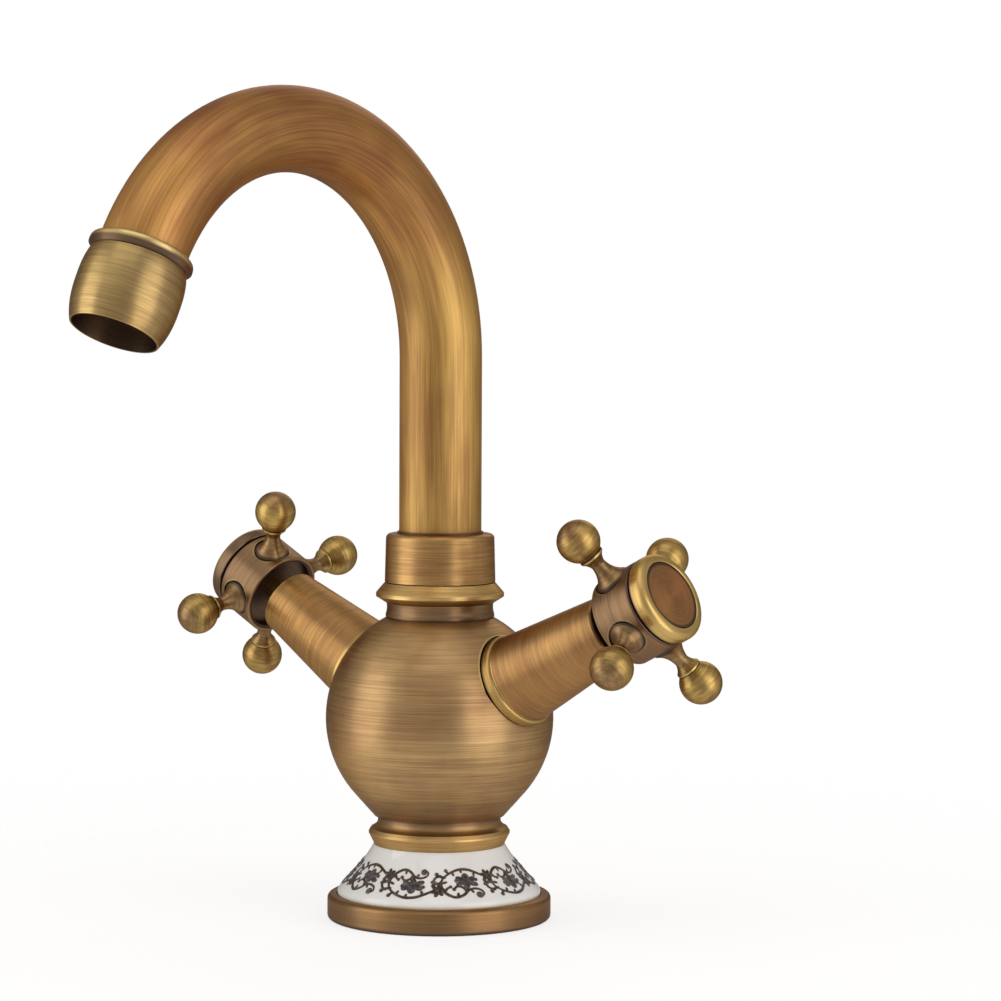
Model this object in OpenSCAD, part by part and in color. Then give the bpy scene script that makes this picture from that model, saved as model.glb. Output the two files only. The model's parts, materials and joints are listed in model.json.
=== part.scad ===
// Two-handle, single-hole basin mixer with a swivelling arched spout.
// Millimetres, +Z up. The origin is the centre of the face that rests on the basin deck.
// The spout points towards -Y, the hot handle is at -X and the cold handle at +X.

/* [Base] */
// Outer radius of the deck flange
flange_r = 30.4; // [29:0.1:33]
// Height of the deck flange
flange_h = 6.8; // [6.5:0.1:9]
// Height of the floor of the recess that holds the porcelain skirt
flange_floor_z = 4.4; // [4:0.1:5.5]
// Radius of the porcelain skirt at its foot
skirt_foot_r = 27.7; // [26.5:0.1:28]
// Height of the top of the porcelain skirt
skirt_top_z = 20.4; // [19.5:0.1:21]
// Radius of the sharp edge of the brass collar above the skirt
collar_tip_r = 19.2; // [18.5:0.1:20.5]

/* [Body] */
// Radius of the ball-shaped body
ball_r = 30.9; // [30:0.1:32]
// Height of the ball's centre
ball_z = 54.8; // [54:0.1:56]
// Wall of the hollow ball
ball_wall = 3.7; // [3:0.1:5]
// Latitude below which the ball runs straight down to its seat
ball_cone_latitude = 41.7; // [38:0.1:48]
// Radius of the shank that goes down through the base
shank_r = 14.5; // [14:0.1:15]
// Radius of the sharp rim on the neck
neck_rim_r = 17.35; // [16.5:0.05:18]

/* [Spout] */
// Outer radius of the spout tube
tube_r = 11.15; // [10:0.05:11.3]
// Wall of the spout tube
tube_wall = 1.2; // [1:0.1:1.5]
// Height at which the tube begins to bend
bend_start_z = 152.5; // [130:0.5:180]
// Radius of the bend, at the tube's centreline
bend_r = 58.95; // [50:0.05:70]
// Angle that the tube bends through
bend_angle = 154.2; // [140:0.1:165]
// Length of the nozzle below the middle of the bead ring
nozzle_len = 20.8; // [19.5:0.1:24]
// Radius of the bead ring at the end of the tube
bead_r = 13.3; // [12.8:0.05:14]
// Largest radius of the barrel-shaped nozzle
nozzle_r = 13.3; // [13:0.1:14]

/* [Arms] */
// Height at which the two arms' axes meet the ball's axis
arm_z = 52.85; // [52:0.05:54]
// Angle of the arms above the horizontal
arm_rise = 27.2; // [25:0.1:30]
// Angle by which the arms are swept back from the sides
arm_sweep = 2.1; // [0:0.1:4]
// Distance from the ball's axis to the outer end of an arm
arm_end = 65.5; // [64:0.1:67]
// Radius of an arm next to the ball
arm_root_r = 12.1; // [12:0.1:12.4]
// Radius of an arm at its outer end
arm_tip_r = 9.05; // [8.9:0.05:9.6]

/* [Handles] */
// Distance from the ball's axis to the plane of a handle's spokes
spoke_plane = 75; // [75:0.1:76]
// Radius of a handle's hub
hub_r = 12.1; // [11.9:0.1:12.6]
// Distance from a handle's axis to the centre of a knob
knob_reach = 25.3; // [25:0.1:28]
// Radius of a knob
knob_r = 5.7; // [5.2:0.1:6]
// Turn of the closed hot handle about its arm
hot_rest_turn = -18.4; // [-45:0.1:45]
// Turn of the closed cold handle about its arm
cold_rest_turn = -56.5; // [-90:0.1:0]

/* [Hidden] */
$fn = 96;

brass_colour = "#9c7540";
bright_colour = "#c79a45";
dark_colour = "#6f5635";
porcelain_colour = "#f2efe8";
rubber_colour = "#26262a";
ceramic_colour = "#e4ddd0";
plastic_colour = "#b9b2a2";
steel_colour = "#a8a8a6";

// Gap on each side of a running fit
run_gap = 0.05;
// Gap on each side of a shaft in its bore
bore_gap = 0.08;
// How far a cut runs past the face that it opens
over = 1;
// Segments along a moulded stretch of a turned outline
curve_steps = 10;
// Small chamfers that break sharp edges
small_chamfer = 0.4;
fine_chamfer = 0.3;

// Base
shank_gap = 0.1;
gasket_in_r = 23.5;
gasket_out_r = 27.5;
gasket_h = 2;
rim_in_r = skirt_foot_r + 0.25;
rim_round = 1.3;
foot_round = 1.2;
skirt_wall = 3;
skirt_waist_r = 17.8;
skirt_waist_dip = [19.6, 17];
skirt_flare_r = 23.4;
skirt_flare_z = 12.6;
skirt_shoulder_r = 26.9;
skirt_shoulder_z = 8.9;
skirt_edge_z = 8;
skirt_side_z = 6.8;
skirt_foot_in_r = 23.5;
skirt_flare_in = [19.8, 10.8];
collar_foot_r = 17.7;
collar_tip_z = 23.8;
collar_tip_edge = 0.4;
collar_brow = [18.6, 24.8];
collar_throat_z = 25.6;
collar_waist_r = 16.7;
collar_waist_z = 27;
seat_z = 28.2;

// Inlets and fixing stud in the underside of the shank
inlet_x = 6.5;
inlet_y = 2.5;
inlet_thread_r = 4.5;
inlet_thread_len = 12;
inlet_r = 3.5;
inlet_top_z = 56;
stud_y = -8;
stud_r = 3.4;
stud_len = 14;
pillar_r = 12.5;
pillar_top_z = 59;

// Neck and swivel
neck_z = 82;
neck_r = 14.75;
neck_waist_r = 14.5;
neck_groove = 0.35;
neck_curve_start_z = 83;
neck_curve_mid_z = 84.4;
neck_curve_end_z = 86;
neck_top_z = 91.5;
neck_rim_z = 88.3;
neck_rim_edge = 0.5;
neck_boss_r = 15;
neck_boss_z = 72;
neck_spigot_r = 11.5;
neck_spigot_z = 74;
swivel_bore_r = 8.5 + bore_gap;
swivel_r = 8.5;
swivel_foot_z = 78;
nut_thread_r = 12.9;
nut_seat_z = 98;
nut_r = 15;
nut_crown_r = 14.7;
nut_top_z = 104.8;
nut_round = 1.3;
nut_lip_z = 102.6;
nut_cavity_r = 12.5;
nut_mouth_r = 11.7;
ferrule_flange_r = 12.4;
ferrule_flange_z = nut_seat_z + run_gap;
tube_foot_z = 99.6;
ferrule_top_z = 112;
ferrule_bore_r = 5.5;
o_ring_z = [82, 88];
o_ring_section_r = 0.86;
o_ring_mid_r = 7.67;
slip_ring_r = 11.62;
slip_ring_top_z = 105.4;

// Spout end, measured along the tube from the middle of the bead ring
bead_half = 1.7;
bead_edge = 0.25;
bead_shoulder_r = 12.1;
bead_bore_gap = 0.06;
tube_end_turn = 1.25;
barrel_start_r = 12.3;
barrel_bulge = 9;
barrel_shoulder_len = 4.6;
lip_len = 0.5;
lip_chamfer = 0.2;
barrel_mouth_r = 11.6;
mouth_in_r = 10.9;
nozzle_spigot_gap = 0.35;
nozzle_spigot_len = 3;
nozzle_passage_r = 7.5;
aerator_r = 10.3;
washer_start = 4;
aerator_start = 5.4;
aerator_end = 13.2;
screen_seat = 12.2;
screen_r = 8.8;
screen_len = 0.7;
screen_ledge = 1.2;
aerator_roof = 2;
jet_r = 0.8;
jet_reach = 4.6;
mesh_hole_r = 0.72;
mesh_pitch = 2;
mesh_rings = 3;

// Arms and valves, measured along an arm from the ball's axis
barrel_r = 11.5;
barrel_start = 1;
barrel_stop = 27;
port_start = 5;
port_r = 3;
valve_seat = 12;
valve_r = 8;
socket_start = 24;
socket_r = 9.6;
spotface = 28.6;
spotface_r = 13.3;
window_at = 20;
window_r = 2.6;
cartridge_window_r = 2.2;
ring_len = 3;
ring_r = 12.8;
ring_round = 0.7;
arm_bore_r = 7.6;
arm_step = 46;
arm_mouth_r = 5.2;
arm_well_r = 8;
arm_well_floor = 59;
seal_len = 1.2;
seal_in_r = 3.6;
disc_start = valve_seat + seal_len;
fixed_disc_len = 2.2;
moving_disc_start = disc_start + fixed_disc_len + run_gap;
moving_disc_len = 2.7;
disc_r = 6.6;
disc_port_r = 1.8;
disc_port_reach = 3.7;
key_w = 2;
key_h = 1;
cartridge_bore_r = 6.7;
cartridge_shoulder = 23;
cartridge_neck_r = 7.4;
cartridge_top = 42;
stem_r = 4;
paddle_start = moving_disc_start + moving_disc_len;
paddle_stop = 22.5;
paddle_w = 4;
paddle_r = 6.4;
stem_o_ring_at = [29, 34];
stem_o_ring_section_r = 0.9;
stem_o_ring_mid_r = 3.14;
clip_start = cartridge_top + run_gap;
clip_len = 0.7;
clip_in_r = 3.2;
clip_out_r = 5.6;
clip_gap_w = 2.4;
spline_start = 68;
spline_end = 77.3;
spline_teeth = 20;
spline_r = 3.5;
spline_root_r = 3.15;
spline_fit = 0.03;

// Handles, measured along an arm from the ball's axis
hub_back = spoke_plane - 6;
hub_front = spoke_plane + 6.6;
recess_flare = 0.6;
recess_r = 10.5;
recess_mouth_r = 11.3;
recess_floor = spoke_plane - 3.4;
hub_web = 77.5;
screw_seat = 79.4;
screw_r = 2;
screw_tip = spline_start + 1.5;
screw_head_r = 3.6;
screw_head_len = 2.6;
screw_hex_r = 1.7;
screw_hex_floor = 80.4;
hub_spigot_r = 11.2;
hub_spigot_end = 84.6;
hub_well_r = 9;
bezel_start = 82.2;
bezel_end = 86.5;
bezel_lip_start = 85.4;
bezel_in_r = 9.35;
bezel_face_r = 10.3;
bezel_side_end = 84.3;
bezel_edge = 0.2;
index_flange_r = 11;
index_r = 9.1;
index_end = 86.25;

// Spokes, measured outwards from a handle's axis
tenon_hole_start = 7;
tenon_start = 8.2;
tenon_r = 2.2;
spoke_seat = 11;
spoke_seat_gap = 0.25;
spoke_foot_r = 4.75;
spoke_foot_end = 11.8;
spoke_foot_curve = [2.3, 13.7];
spoke_neck_r = 1.95;
spoke_neck = 17;
spoke_cup_curve = [2.25, 18.6];
spoke_cup_r = 3.15;
spoke_collar_r = 3.45;
spoke_collar_start = 19.5;
spoke_collar_end = 20.3;
spoke_groove_r = 3;
spoke_groove_len = 0.3;
knob_root_r = 3.4;

hot = "hot";
cold = "cold";

// Points of a curve from a to c that leaves and arrives heading for b
function bend(a, b, c) = [
    for (i = [0 : curve_steps])
        let (t = i / curve_steps)
        (1 - t) * (1 - t) * a + 2 * t * (1 - t) * b + t * t * c
];

// Points of a round arc about centre c, from angle a0 to a1
function arc(c, r, a0, a1) = [
    for (i = [0 : curve_steps])
        let (a = a0 + (a1 - a0) * i / curve_steps)
        c + r * [cos(a), sin(a)]
];

// Turn of a closed handle about its arm
function rest_turn(side) = side == hot ? hot_rest_turn : cold_rest_turn;

// Places children at the end of the tube, with Z along it towards the water
module at_spout_end() {
    translate([0, bend_r * (cos(bend_angle) - 1), bend_start_z + bend_r * sin(bend_angle)])
        rotate([bend_angle, 0, 0])
            children();
}

// Places children on the arm of one side, with Z outwards along it
module on_arm(side) {
    azimuth = side == hot ? 180 - arm_sweep : arm_sweep;
    translate([0, 0, arm_z])
        rotate([0, 90 - arm_rise, azimuth])
            rotate([0, 0, 90])
                children();
}

// Places children on the handle of one side, turned as it rests
module on_handle(side) {
    on_arm(side)
        rotate([0, 0, rest_turn(side)])
            children();
}

// A turned solid between two radii and two heights
module ring(r_in, r_out, z0, z1) {
    rotate_extrude()
        translate([r_in, z0])
            square([r_out - r_in, z1 - z0]);
}

// A solid rod between two heights
module rod(r, z0, z1) {
    translate([0, 0, z0])
        cylinder(r = r, h = z1 - z0);
}

// Dished brass flange that rests on the deck
module base_flange() {
    outline = concat(
        [[shank_r + shank_gap, 0]],
        [[flange_r - foot_round, 0]],
        arc([flange_r - foot_round, foot_round], foot_round, -90, 0),
        arc([flange_r - rim_round, flange_h - rim_round], rim_round, 0, 90),
        [[rim_in_r, flange_h], [rim_in_r, flange_floor_z]],
        [[shank_r + shank_gap, flange_floor_z]]
    );
    color(brass_colour)
        difference() {
            rotate_extrude()
                polygon(outline);
            ring(gasket_in_r, gasket_out_r, -over, gasket_h);
        }
}

// Flat seal in the groove under the flange
module base_gasket() {
    color(rubber_colour)
        ring(gasket_in_r, gasket_out_r, 0, gasket_h);
}

// Hollow flared skirt of glazed porcelain
module porcelain_skirt() {
    outer = concat(
        bend([skirt_waist_r, skirt_top_z], skirt_waist_dip, [skirt_flare_r, skirt_flare_z]),
        bend([skirt_shoulder_r, skirt_shoulder_z], [skirt_foot_r, skirt_edge_z],
             [skirt_foot_r, skirt_side_z])
    );
    outline = concat(
        outer,
        [[skirt_foot_r, flange_floor_z]],
        [[skirt_foot_in_r, flange_floor_z], skirt_flare_in],
        [[shank_r + shank_gap, skirt_top_z - skirt_wall]],
        [[shank_r + shank_gap, skirt_top_z]]
    );
    color(porcelain_colour)
        rotate_extrude()
            polygon(outline);
}

// Brass ring between the porcelain and the ball
module base_collar() {
    outline = concat(
        [[shank_r, skirt_top_z], [collar_foot_r, skirt_top_z]],
        [[collar_tip_r, collar_tip_z - collar_tip_edge], [collar_tip_r, collar_tip_z]],
        bend(collar_brow, [collar_waist_r, collar_throat_z],
             [collar_waist_r, collar_waist_z]),
        [[collar_waist_r, seat_z], [shank_r, seat_z]]
    );
    color(brass_colour)
        rotate_extrude()
            polygon(outline);
}

// Solid outside of the ball, with a flat under the neck and a cone down to its seat
module ball_outside() {
    seat = seat_z - ball_z;
    cone_r = ball_r * cos(ball_cone_latitude);
    cone_top = -ball_r * sin(ball_cone_latitude);
    difference() {
        union() {
            sphere(r = ball_r);
            translate([0, 0, seat])
                cylinder(
                    r1 = cone_r - (cone_top - seat) * tan(ball_cone_latitude),
                    r2 = cone_r,
                    h = cone_top - seat
                );
        }
        rod(ball_r, neck_z - ball_z, ball_r + over);
        rod(ball_r, -ball_r - over, seat);
    }
}

// The hollow of the ball, round the pillar, the neck boss and the two valve barrels
module ball_hollow() {
    difference() {
        translate([0, 0, ball_z])
            sphere(r = ball_r - ball_wall);
        rod(pillar_r, 0, pillar_top_z);
        rod(neck_boss_r, neck_boss_z, neck_z);
        for (side = [hot, cold])
            on_arm(side)
                rod(barrel_r, barrel_start, barrel_stop + ball_wall);
    }
}

// Waterways and sockets of one valve
module valve_cuts(side) {
    on_arm(side) {
        rod(port_r, port_start, valve_seat + over);
        rod(valve_r, valve_seat, socket_start + over);
        rod(socket_r, socket_start, spotface + over);
        rod(spotface_r, spotface, spotface + 2 * ring_len);
        translate([-barrel_r - over, 0, window_at])
            rotate([0, 90, 0])
                rod(window_r, 0, 2 * (barrel_r + over));
    }
}

// Threads and waterways in the underside of the shank
module shank_cuts() {
    for (x = [-inlet_x, inlet_x])
        translate([x, inlet_y, 0]) {
            rod(inlet_thread_r, -over, inlet_thread_len);
            rod(inlet_r, inlet_thread_len - over, inlet_top_z);
        }
    translate([0, stud_y, 0])
        rod(stud_r, -over, stud_len);
}

// Cast brass body: ball, shank, valve barrels and waterways in one piece
module ball_body() {
    color(brass_colour)
        difference() {
            union() {
                translate([0, 0, ball_z])
                    ball_outside();
                rod(shank_r, 0, seat_z + over);
            }
            ball_hollow();
            shank_cuts();
            valve_cuts(hot);
            valve_cuts(cold);
            rod(neck_spigot_r, neck_spigot_z, neck_z + over);
            rod(swivel_bore_r + over, neck_boss_z - over, neck_spigot_z + over);
        }
}

// Neck that screws into the ball and carries the spout
module neck_adapter() {
    outline = concat(
        [[swivel_bore_r, neck_spigot_z], [neck_spigot_r, neck_spigot_z]],
        [[neck_spigot_r, neck_z], [neck_r - neck_groove, neck_z]],
        [[neck_r - neck_groove, neck_z + neck_groove], [neck_r, neck_z + neck_groove]],
        bend([neck_r, neck_curve_start_z], [neck_waist_r - fine_chamfer, neck_curve_mid_z],
             [neck_waist_r, neck_curve_end_z]),
        [[neck_rim_r, neck_rim_z - neck_rim_edge], [neck_rim_r, neck_rim_z + neck_rim_edge]],
        [[nut_r + fine_chamfer, neck_top_z - fine_chamfer], [nut_r, neck_top_z]],
        [[nut_thread_r, neck_top_z]],
        [[nut_thread_r, nut_seat_z], [swivel_bore_r, nut_seat_z]]
    );
    color(brass_colour)
        rotate_extrude()
            polygon(outline);
}

// Nut that holds the spout down in the neck
module spout_nut() {
    outline = concat(
        [[nut_thread_r, neck_top_z], [nut_r - fine_chamfer, neck_top_z]],
        [[nut_r, neck_top_z + fine_chamfer]],
        arc([nut_crown_r - nut_round, nut_top_z - nut_round], nut_round, 0, 90),
        [[nut_mouth_r, nut_top_z], [nut_mouth_r, nut_lip_z], [nut_cavity_r, nut_lip_z]],
        [[nut_cavity_r, nut_seat_z], [nut_thread_r, nut_seat_z]]
    );
    color(brass_colour)
        rotate_extrude()
            polygon(outline);
}

// Section of the spout tube
module tube_section() {
    difference() {
        circle(r = tube_r);
        circle(r = tube_r - tube_wall);
    }
}

// Arched spout tube: a straight rise and a round bend that ends inside the bead ring
module spout_tube() {
    color(brass_colour) {
        translate([0, 0, tube_foot_z])
            linear_extrude(bend_start_z - tube_foot_z)
                tube_section();
        translate([0, -bend_r, bend_start_z])
            rotate([90, 0, 90])
                rotate_extrude(angle = bend_angle + tube_end_turn)
                    translate([bend_r, 0])
                        tube_section();
    }
}

// Turned insert brazed into the foot of the tube
module spout_ferrule() {
    color(bright_colour)
        difference() {
            union() {
                rod(swivel_r, swivel_foot_z, ferrule_flange_z + over);
                rod(ferrule_flange_r, ferrule_flange_z, tube_foot_z);
                rod(tube_r - tube_wall, tube_foot_z - over, ferrule_top_z);
            }
            rod(ferrule_bore_r, swivel_foot_z - over, ferrule_top_z + over);
            for (z = o_ring_z)
                ring(o_ring_mid_r - o_ring_section_r, swivel_r + over,
                     z - o_ring_section_r, z + o_ring_section_r);
        }
}

// Two O-rings that seal the swivel
module spout_o_rings() {
    color(rubber_colour)
        for (z = o_ring_z)
            translate([0, 0, z])
                rotate_extrude()
                    translate([o_ring_mid_r, 0])
                        circle(r = o_ring_section_r, $fn = 48);
}

// Slip ring between the ferrule's flange and the lip of the nut
module spout_slip_ring() {
    color(dark_colour) {
        ring(tube_r, ferrule_flange_r, tube_foot_z, nut_lip_z - run_gap);
        ring(tube_r, slip_ring_r, nut_lip_z - over, slip_ring_top_z);
    }
}

// Bead ring that hides the joint of tube and nozzle
module spout_bead_ring() {
    bore = tube_r + bead_bore_gap;
    outline = concat(
        [[bore, -bead_half]],
        bend([bead_shoulder_r, -bead_half], [bead_r, -bead_half], [bead_r, -bead_edge]),
        [[bead_r, bead_edge], [barrel_start_r - small_chamfer, bead_half], [bore, bead_half]]
    );
    color(bright_colour)
        at_spout_end()
            rotate_extrude()
                polygon(outline);
}

// Barrel-shaped nozzle with a spigot up into the tube
module nozzle_shell() {
    shoulder = nozzle_len - barrel_shoulder_len;
    spigot_r = tube_r - tube_wall - nozzle_spigot_gap;
    outline = concat(
        [[nozzle_passage_r, bead_half - nozzle_spigot_len]],
        [[spigot_r, bead_half - nozzle_spigot_len], [spigot_r, bead_half]],
        bend([barrel_start_r, bead_half], [nozzle_r, barrel_bulge / 2], [nozzle_r, barrel_bulge]),
        bend([nozzle_r, barrel_bulge + bead_half], [nozzle_r, shoulder],
             [barrel_mouth_r, nozzle_len - lip_len]),
        [[barrel_mouth_r - lip_chamfer, nozzle_len]],
        [[mouth_in_r, nozzle_len], [mouth_in_r, aerator_end]],
        [[aerator_r, aerator_end], [aerator_r, washer_start], [nozzle_passage_r, washer_start]]
    );
    color(brass_colour)
        at_spout_end()
            rotate_extrude()
                polygon(outline);
}

// Seal above the aerator
module aerator_washer() {
    color(rubber_colour)
        at_spout_end()
            ring(nozzle_passage_r, aerator_r, washer_start, aerator_start);
}

// Plastic housing of the aerator, with a ring of jets
module aerator_body() {
    color(plastic_colour)
        at_spout_end()
            difference() {
                rod(aerator_r, aerator_start, aerator_end);
                rod(screen_r - screen_ledge, aerator_start + aerator_roof, aerator_end + over);
                rod(screen_r, screen_seat, aerator_end + over);
                for (a = [0 : 30 : 330])
                    rotate([0, 0, a])
                        translate([jet_reach, 0, 0])
                            rod(jet_r, aerator_start - over, aerator_start + aerator_roof + over);
            }
}

// Perforated outlet screen of the aerator
module aerator_screen() {
    color(steel_colour)
        at_spout_end()
            difference() {
                rod(screen_r, screen_seat, screen_seat + screen_len);
                for (i = [-mesh_rings : mesh_rings], j = [-mesh_rings : mesh_rings])
                    if (abs(i + j) <= mesh_rings)
                        translate([mesh_pitch * (i + j / 2), mesh_pitch * j * sin(60), 0])
                            translate([0, 0, screen_seat - over])
                                cylinder(r = mesh_hole_r, h = screen_len + 2 * over, $fn = 24);
            }
}

// Conical arm that screws into the ball over the valve
module arm(side) {
    arm_start = spotface + ring_len;
    outline = concat(
        [[arm_bore_r, socket_start], [socket_r, socket_start], [socket_r, arm_start]],
        [[arm_root_r, arm_start], [arm_tip_r, arm_end - small_chamfer]],
        [[arm_tip_r - small_chamfer, arm_end], [arm_well_r, arm_end]],
        [[arm_well_r, arm_well_floor], [arm_mouth_r, arm_well_floor]],
        [[arm_mouth_r, arm_step], [arm_bore_r, arm_step]]
    );
    color(brass_colour)
        on_arm(side)
            rotate_extrude()
                polygon(outline);
}

// Bead ring between the ball and an arm
module arm_ring(side) {
    end = spotface + ring_len;
    outline = concat(
        [[socket_r, spotface], [ring_r - small_chamfer, spotface]],
        [[ring_r, spotface + small_chamfer]],
        arc([ring_r - ring_round, end - ring_round], ring_round, 0, 90),
        [[socket_r, end]]
    );
    color(bright_colour)
        on_arm(side)
            rotate_extrude()
                polygon(outline);
}

// Brass housing of a quarter-turn valve
module cartridge_body(side) {
    color(bright_colour)
        on_arm(side)
            difference() {
                union() {
                    rod(valve_r, disc_start, socket_start);
                    rod(cartridge_neck_r, socket_start - over, cartridge_top);
                }
                rod(cartridge_bore_r, disc_start - over, cartridge_shoulder);
                rod(stem_r + bore_gap, cartridge_shoulder - over, cartridge_top + over);
                translate([-valve_r - over, 0, window_at])
                    rotate([0, 90, 0])
                        rod(cartridge_window_r, 0, 2 * (valve_r + over));
            }
}

// Rubber seal under a valve
module cartridge_seal(side) {
    color(rubber_colour)
        on_arm(side)
            ring(seal_in_r, valve_r, valve_seat, disc_start);
}

// Two opposite ports through a ceramic disc
module disc_ports(z0, z1) {
    for (a = [0, 180])
        rotate([0, 0, a])
            translate([disc_port_reach, 0, 0])
                rod(disc_port_r, z0 - over, z1 + over);
}

// Ceramic disc that stays still
module fixed_disc(side) {
    end = disc_start + fixed_disc_len;
    color(ceramic_colour)
        on_arm(side)
            difference() {
                rod(disc_r, disc_start, end);
                disc_ports(disc_start, end);
            }
}

// Ceramic disc that the stem turns, closed at rest
module moving_disc(side) {
    color(ceramic_colour)
        on_arm(side)
            rotate([0, 0, 90])
                difference() {
                    rod(disc_r, moving_disc_start, paddle_start);
                    disc_ports(moving_disc_start, paddle_start);
                    translate([-key_w / 2 - spline_fit, -disc_r - over, paddle_start - key_h])
                        cube([key_w + 2 * spline_fit, 2 * (disc_r + over), key_h + over]);
                }
}

// Outline of a splined shaft end
module spline_section(grow) {
    step = 180 / spline_teeth;
    polygon([
        for (i = [0 : 2 * spline_teeth - 1])
            let (r = (i % 2 == 0 ? spline_r : spline_root_r) + grow)
            [r * cos(i * step), r * sin(i * step)]
    ]);
}

// Stem that carries the handle's turn to the moving disc
module stem(side) {
    color(steel_colour)
        on_arm(side)
            difference() {
                union() {
                    intersection() {
                        rod(paddle_r, paddle_start - key_h, paddle_stop);
                        union() {
                            translate([-paddle_r, -paddle_w / 2, paddle_start])
                                cube([2 * paddle_r, paddle_w, paddle_stop - paddle_start]);
                            translate([-paddle_r, -key_w / 2, paddle_start - key_h + spline_fit])
                                cube([2 * paddle_r, key_w, 2 * key_h]);
                        }
                    }
                    rod(stem_r, paddle_stop - over, spline_start);
                    translate([0, 0, spline_start - over])
                        rotate([0, 0, rest_turn(side)])
                            linear_extrude(spline_end - spline_start + over)
                                spline_section(0);
                }
                for (at = stem_o_ring_at)
                    ring(stem_o_ring_mid_r - stem_o_ring_section_r, stem_r + over,
                         at - stem_o_ring_section_r, at + stem_o_ring_section_r);
                ring(clip_in_r, stem_r + over, clip_start, clip_start + clip_len);
                rod(screw_r, screw_tip, spline_end + over);
            }
}

// O-rings on a stem
module stem_o_rings(side) {
    color(rubber_colour)
        on_arm(side)
            for (at = stem_o_ring_at)
                translate([0, 0, at])
                    rotate_extrude()
                        translate([stem_o_ring_mid_r, 0])
                            circle(r = stem_o_ring_section_r, $fn = 48);
}

// Open spring clip that keeps a stem in its housing
module retaining_clip(side) {
    color(steel_colour)
        on_arm(side)
            difference() {
                ring(clip_in_r, clip_out_r, clip_start, clip_start + clip_len);
                translate([0, -clip_gap_w / 2, clip_start - over])
                    cube([2 * clip_out_r, clip_gap_w, clip_len + 2 * over]);
            }
}

// Four places round a handle, with Z outwards along the spoke
module at_spokes() {
    for (a = [0 : 90 : 270])
        translate([0, 0, spoke_plane])
            rotate([0, 0, a])
                rotate([0, 90, 0])
                    children();
}

// Hub of a cross handle
module handle_hub(side) {
    outline = [
        [recess_mouth_r, hub_back], [hub_r - fine_chamfer, hub_back], [hub_r, hub_back + fine_chamfer],
        [hub_r, hub_front - fine_chamfer], [hub_r - fine_chamfer, hub_front],
        [hub_spigot_r, hub_front], [hub_spigot_r, hub_spigot_end],
        [hub_well_r, hub_spigot_end], [hub_well_r, screw_seat],
        [screw_r, screw_seat], [screw_r, hub_web], [screw_r, recess_floor],
        [recess_r, recess_floor], [recess_r, hub_back + recess_flare]
    ];
    color(dark_colour)
        on_handle(side)
            difference() {
                rotate_extrude()
                    polygon(outline);
                translate([0, 0, recess_floor - over])
                    linear_extrude(hub_web - recess_floor + over)
                        spline_section(spline_fit);
                at_spokes() {
                    rod(spoke_foot_r + spoke_seat_gap, spoke_seat, hub_r + over);
                    rod(tenon_r, tenon_hole_start, spoke_seat + over);
                }
            }
}

// Four turned spokes with knobs
module handle_spokes(side) {
    knob_root = spoke_collar_end + spoke_groove_len;
    root_depth = knob_reach - knob_root;
    knob_from = 180 - atan(knob_root_r / root_depth)
        - acos(knob_r / norm([knob_root_r, root_depth]));
    outline = concat(
        [[0, tenon_start], [tenon_r, tenon_start], [tenon_r, spoke_seat]],
        [[spoke_foot_r, spoke_seat]],
        bend([spoke_foot_r, spoke_foot_end], spoke_foot_curve, [spoke_neck_r, spoke_neck]),
        bend([spoke_neck_r, spoke_neck + fine_chamfer], spoke_cup_curve,
             [spoke_cup_r, spoke_collar_start]),
        [[spoke_collar_r, spoke_collar_start + fine_chamfer], [spoke_collar_r, spoke_collar_end]],
        [[spoke_groove_r, spoke_collar_end], [spoke_groove_r, knob_root]],
        [[knob_root_r, knob_root]],
        [
            for (i = [0 : 2 * curve_steps])
                let (a = knob_from * (1 - i / (2 * curve_steps)))
                [knob_r * sin(a), knob_reach + knob_r * cos(a)]
        ]
    );
    color(bright_colour)
        on_handle(side)
            at_spokes()
                rotate_extrude()
                    polygon(outline);
}

// Ring that caps the front of a hub
module handle_bezel(side) {
    outline = concat(
        [[hub_spigot_r, bezel_start], [hub_r - bezel_edge, bezel_start]],
        [[hub_r, bezel_start + bezel_edge]],
        bend([hub_r, bezel_side_end], [hub_r, bezel_end - bezel_edge], [bezel_face_r, bezel_end]),
        [[bezel_in_r + bezel_edge, bezel_end], [bezel_in_r, bezel_end - bezel_edge]],
        [[bezel_in_r, bezel_lip_start], [hub_spigot_r, bezel_lip_start]]
    );
    color(bright_colour)
        on_handle(side)
            rotate_extrude()
                polygon(outline);
}

// Plain disc held in the bezel, where a marking would be
module index_disc(side) {
    color(dark_colour)
        on_handle(side) {
            rod(index_flange_r, hub_spigot_end, bezel_lip_start);
            rod(index_r, hub_spigot_end, index_end);
        }
}

// Screw that pulls a hub on to its stem
module handle_screw(side) {
    color(steel_colour)
        on_handle(side)
            difference() {
                union() {
                    rod(screw_r, screw_tip, screw_seat + over);
                    rod(screw_head_r, screw_seat, screw_seat + screw_head_len);
                }
                translate([0, 0, screw_hex_floor])
                    cylinder(r = screw_hex_r, h = screw_head_len, $fn = 6);
            }
}

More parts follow.
